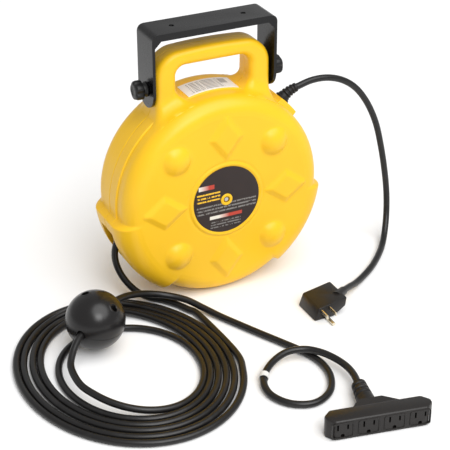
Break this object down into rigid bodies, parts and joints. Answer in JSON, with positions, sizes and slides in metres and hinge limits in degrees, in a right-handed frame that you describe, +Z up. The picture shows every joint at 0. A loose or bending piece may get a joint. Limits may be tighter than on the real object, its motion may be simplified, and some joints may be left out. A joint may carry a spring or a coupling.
{
  "type": "extension cord reel",
  "caption": "Spring-return extension cord reel: round hollow case with carry handle, swinging mounting bracket, power lead and plug, and an output cord with a stop ball and a multi-way tap",
  "frame": {"origin": "on the surface the reel stands on, midway across the case and midway between its front and rear faces", "axes": "+X to the right seen from the label side, +Y towards the rear face, along the drum's axis, +Z up, through the handle"},
  "size_m": [0.6404, 0.5068, 0.388],
  "materials": {
    "case_plastic": "smooth moulded yellow plastic, satin on the side wall",
    "bracket_paint": "gloss black paint on bent steel strap",
    "knob_plastic": "black moulded knob, satin",
    "steel": "zinc plated steel",
    "spring_steel": "blued spring steel",
    "brass": "bright brass",
    "spool_plastic": "grey moulded plastic",
    "moulded_black": "charcoal moulded plastic, satin",
    "carbon": "sintered carbon",
    "cord_jacket": "black cord jacket, semi-gloss",
    "soft_black": "soft black moulding",
    "disc_label": "printed black film",
    "rating_label": "printed silver film",
    "tag_white": "white band"
  },
  "bodies": {
    "case": {"front_shell": "case_plastic", "rear_shell": "case_plastic", "front_label": "disc_label", "top_label": "rating_label", "case_screw_1": "steel", "case_screw_2": "steel", "case_screw_3": "steel", "case_screw_4": "steel", "case_screw_5": "steel", "case_screw_6": "steel", "axle": "steel", "axle_screw_front": "steel", "axle_screw_rear": "steel", "brush_holder": "moulded_black", "brush_inner": "carbon", "brush_middle": "carbon", "brush_outer": "carbon", "pawl_pin": "steel", "pawl_spring": "spring_steel", "left_pivot_nut": "steel", "right_pivot_nut": "steel", "left_pivot_washer": "soft_black", "right_pivot_washer": "soft_black", "lead_gland": "soft_black", "lead_strain_relief": "soft_black", "power_lead": "cord_jacket", "plug_body": "moulded_black", "plug_blade_left": "brass", "plug_blade_right": "brass", "plug_ground_pin": "brass", "output_cord_near": "cord_jacket", "output_cord_coil": "cord_jacket", "output_cord_rise": "cord_jacket", "output_cord_far": "cord_jacket", "cord_tag_band": "tag_white", "stop_ball_lower": "moulded_black", "stop_ball_upper": "moulded_black", "stop_ball_screw_1": "steel", "stop_ball_screw_2": "steel", "tap_body": "moulded_black", "tap_strain_relief": "soft_black"},
    "bracket": {"bracket": "bracket_paint"},
    "left_knob": {"left_knob": "knob_plastic", "left_pivot_bolt": "steel"},
    "right_knob": {"right_knob": "knob_plastic", "right_pivot_bolt": "steel"},
    "spool": {"spool_hub": "spool_plastic", "spool_front_flange": "spool_plastic", "spool_rear_flange": "spool_plastic", "ratchet_ring": "steel", "cord_winding": "cord_jacket", "axle_bush_front": "brass", "axle_bush_rear": "brass", "slip_ring_carrier": "moulded_black", "slip_ring_inner": "brass", "slip_ring_middle": "brass", "slip_ring_outer": "brass", "power_spring": "spring_steel"},
    "pawl": {"pawl": "steel"}
  },
  "joints": [
    {"name": "bracket_swing", "type": "hinge", "parent": "case", "child": "bracket", "pos_m": [0, 0, 0.306], "axis": [1, 0, 0], "range_deg": [-100, 100]},
    {"name": "left_knob_turn", "type": "hinge", "parent": "case", "child": "left_knob", "pos_m": [-0.1, 0, 0.306], "axis": [1, 0, 0], "range_deg": [0, 540]},
    {"name": "right_knob_turn", "type": "hinge", "parent": "case", "child": "right_knob", "pos_m": [0.1, 0, 0.306], "axis": [1, 0, 0], "range_deg": [-540, 0]},
    {"name": "spool_spin", "type": "hinge", "parent": "case", "child": "spool", "pos_m": [0, 0, 0.148], "axis": [0, 1, 0], "continuous": true},
    {"name": "pawl_swing", "type": "hinge", "parent": "case", "child": "pawl", "pos_m": [0.06964, -0.0406, 0.19497], "axis": [0, 1, 0], "range_deg": [-18, 4], "stiffness_Nm_per_rad": 0.05}
  ]
}
